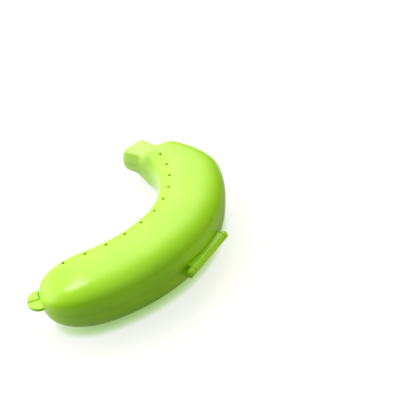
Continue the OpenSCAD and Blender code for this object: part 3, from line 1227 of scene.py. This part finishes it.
@dataclass
class LowerShell(HalfShell):
    """The base: the end knuckles in their corners and the hook."""

    def hinge_forms(self) -> list[BMesh]:
        """Build the end knuckles with a floor and an end rib.

        Returns:
            At each end the floor, the rib, the rib's round and the knuckle.
        """
        h, y, z = self.hinge, self.hinge.y, self.form.parting_z
        made = []
        for side in (-1.0, 1.0):
            outer = h.end_x(side)
            inner = outer - side * h.end_len
            rib = outer - side * h.rib_t
            x0, x1 = sorted((inner, outer))
            f0, f1 = sorted((inner + side * 2.0 * HAIR, rib))
            r0, r1 = sorted((rib, outer))
            soft = (h.end_round, h.inner_soft) if side < 0.0 else (h.inner_soft, h.end_round)
            cup = rod(r0, r1, y, z, h.r, (h.rib_soft, h.rib_soft))
            trim(cup, z - h.rib_drop, 1.0)
            made += [block((f0, y - h.root, z - h.r + HAIR), (f1, y, z - h.r + h.web_t)),
                     block((r0 + HAIR, y - h.root, z - h.r + 3.0 * HAIR),
                           (r1 - HAIR, y, z - h.rib_drop - HAIR), h.rib_soft),
                     cup, rod(x0, x1, y, z, h.r, soft)]
        return made

    def inserts(self) -> list[BMesh]:
        """Build the hook: a blade with a round bulb along its top.

        Returns:
            The blade and the bulb.
        """
        s, z = self.snap, self.form.parting_z
        x = s.slot_len / 2.0 - s.clear
        top = z + self.rim.gap / 2.0 + s.t + s.rise
        bulb_r = (s.hook_t + s.bulb) / 2.0
        near = s.slot(self.form)[1] - s.clear
        blade = block((-x, near - s.hook_t, z - self.rim.gap / 2.0 - s.t / 2.0), (x, near, top - bulb_r))
        bulb = rod(-x + HAIR, x - HAIR, near - bulb_r, top - bulb_r, bulb_r, (s.bulb_soft, s.bulb_soft))
        return [blade, bulb]

    def cutters(self) -> list[BMesh]:
        """Build the tool for the pin."""
        return [self.hinge.bore(self.form, self.hinge.base_bore)]


@dataclass
class HingePin:
    """The straight pin through the three knuckles."""

    form: BodyForm
    finish: Material
    hinge: Hinge = field(default_factory=Hinge)

    def build(self) -> Object:
        """Build and dress the pin.

        Returns:
            The finished object.
        """
        h = self.hinge
        bm = rod(h.end_x(-1.0) + h.pin_inset, h.end_x(1.0) - h.cap - h.pin_inset, h.y, self.form.parting_z,
                 h.pin_r, (h.pin_soft, h.pin_soft))
        bmesh.ops.scale(bm, vec=(MM, MM, MM), verts=bm.verts[:])
        pin = to_object(bm, "hinge_pin_visual")
        shade(pin, self.finish)
        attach(pin, "base")
        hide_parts("hinge_pin")
        log.info("hinge_pin_visual: %d faces", len(pin.data.polygons))
        return pin


def toward(azimuth: float, elevation: float) -> Vector:
    """Direction from the case to a place in the studio, from angles in degrees."""
    a, e = math.radians(azimuth), math.radians(elevation)
    return Vector((math.sin(a) * math.cos(e), -math.cos(a) * math.cos(e), math.sin(e)))


@dataclass(frozen=True)
class PhotoCamera:
    """The photo's camera, in millimetres of the part's frame."""

    target: tuple[float, float, float] = (-86.8, -24.5, 0.0)
    distance: float = 558.0
    azimuth: float = 121.5
    elevation: float = 38.4
    lens: float = 50.19
    sensor: float = 36.0
    clip: float = 10.0

    def build(self) -> None:
        """Place the camera and make it the scene's own."""
        back = toward(self.azimuth, self.elevation)
        data = bpy.data.cameras.new("photo_camera")
        data.lens = self.lens
        data.sensor_width = self.sensor
        data.clip_start = self.clip * MM
        camera = bpy.data.objects.new("photo_camera", data)
        camera.location = (Vector(self.target) + back * self.distance) * MM
        camera.rotation_euler = back.to_track_quat("Z", "Y").to_euler()
        bpy.context.scene.collection.objects.link(camera)
        bpy.context.scene.camera = camera


@dataclass(frozen=True)
class SoftBox:
    """A studio light, with its sizes in metres and its target in millimetres; gloss may mirror it."""

    name: str
    azimuth: float
    elevation: float
    distance: float
    size: tuple[float, float]
    power: float
    color: str = "#FFFFFF"
    mirrored: bool = False
    target: tuple[float, float, float] = (0.0, 0.0, 0.0)

    def build(self) -> None:
        """Place the light."""
        back = toward(self.azimuth, self.elevation)
        data = bpy.data.lights.new(self.name, "AREA")
        data.shape = "RECTANGLE"
        data.size, data.size_y = self.size
        data.energy = self.power
        data.color = linear(self.color)[:3]
        light = bpy.data.objects.new(self.name, data)
        light.location = Vector(self.target) * MM + back * self.distance
        light.rotation_euler = back.to_track_quat("Z", "Y").to_euler()
        light.visible_camera = False
        light.visible_glossy = self.mirrored
        bpy.context.scene.collection.objects.link(light)


@dataclass(frozen=True)
class SkyGlow:
    """A wide bright wall of the studio with no edges, which fades out round its middle."""

    azimuth: float
    elevation: float
    strength: float
    focus: float
    color: str

    def add(self, tree: NodeTree, way: NodeSocket) -> NodeSocket:
        """Add the glow to the world.

        Args:
            tree: The world's nodes.
            way: The direction of a ray.

        Returns:
            The glow's shader.
        """
        facing = add_node(tree, "ShaderNodeVectorMath", {"operation": "DOT_PRODUCT"}, i0=way,
                          i1=toward(self.azimuth, self.elevation))
        ahead = add_node(tree, "ShaderNodeMath", MOST, i0=facing.outputs["Value"], i1=0.0)
        lobe = add_node(tree, "ShaderNodeMath", POWER, i0=ahead, i1=self.focus)
        strength = add_node(tree, "ShaderNodeMath", TIMES, i0=lobe, i1=self.strength)
        return add_node(tree, "ShaderNodeBackground", Color=linear(self.color), Strength=strength).outputs[0]


@dataclass(frozen=True)
class Studio:
    """White studio: floor, background and soft lights."""

    fill: float = 0.21
    fill_color: str = "#D8FFCC"
    floor_m: float = 6.0
    floor_drop_m: float = 0.0001
    glows: tuple[SkyGlow, ...] = (
        SkyGlow(317.0, 43.0, 4.4, 12.0, "#FFF1E4"),
        SkyGlow(185.0, 74.0, 0.6, 3.5, "#F6FFE4"),
        SkyGlow(24.0, 26.0, 3.8, 12.0, "#FFFAF2"),
        SkyGlow(352.0, 8.0, 1.6, 8.0, "#FFFFFF"),
    )
    lights: tuple[SoftBox, ...] = (
        SoftBox("key", 357.0, 54.0, 1.2, (0.3, 0.26), 2.0, mirrored=True),
        SoftBox("front_left", 40.0, 6.0, 1.3, (0.8, 0.4), 3.0),
        SoftBox("warm", 215.0, 6.0, 0.6, (0.5, 0.3), 0.15, "#FFE890"),
        SoftBox("hinge_card", 188.0, -10.0, 0.045, (0.06, 0.02), 0.006, "#FFE868",
                target=(-4.0, 34.0, 24.0)),
    )

    def build(self) -> None:
        """Build the background, the table and the lights."""
        bpy.context.scene.view_settings.view_transform = "Standard"
        self.background()
        self.table()
        for light_box in self.lights:
            light_box.build()

    def background(self) -> None:
        """Make the world: white to the camera, the fill and the glows to all that is lit by it."""
        world = bpy.data.worlds.new("white_studio")
        bpy.context.scene.world = world
        world.use_nodes = True
        tree = world.node_tree
        tree.nodes.clear()
        way = add_node(tree, "ShaderNodeTexCoord").outputs["Generated"]
        path = add_node(tree, "ShaderNodeLightPath").outputs
        direct = add_node(tree, "ShaderNodeMath", MOST, i0=path["Is Camera Ray"],
                          i1=path["Is Transmission Ray"])
        lamps = add_node(tree, "ShaderNodeBackground", Color=linear(self.fill_color), Strength=self.fill)
        for glow in self.glows:
            lamps = add_node(tree, "ShaderNodeAddShader", i0=lamps, i1=glow.add(tree, way))
        white = add_node(tree, "ShaderNodeBackground", Color=WHITE)
        both = add_node(tree, "ShaderNodeMixShader", i0=direct, i1=lamps, i2=white)
        add_node(tree, "ShaderNodeOutputWorld", Surface=both)

    def table(self) -> None:
        """Build the table, a hair under the case."""
        bm = bmesh.new()
        bmesh.ops.create_grid(bm, x_segments=1, y_segments=1, size=self.floor_m / 2.0)
        floor = to_object(bm, "floor")
        floor.location.z = -self.floor_drop_m
        floor.data.materials.append(PaleFloor("white_table").build())


def main() -> None:
    """Build the case, its studio and its camera."""
    logging.basicConfig(level=logging.INFO)
    form = BodyForm()
    plastic = MouldedPolypropylene("lime_polypropylene").build()
    UpperShell("upper_shell_visual", Half.LID, "lid", form, plastic).build()
    LowerShell("lower_shell_visual", Half.BASE, "base", form, plastic).build()
    HingePin(form, DrawnSteel("drawn_steel").build()).build()
    Studio().build()
    PhotoCamera().build()


if __name__ == "__main__":
    main()
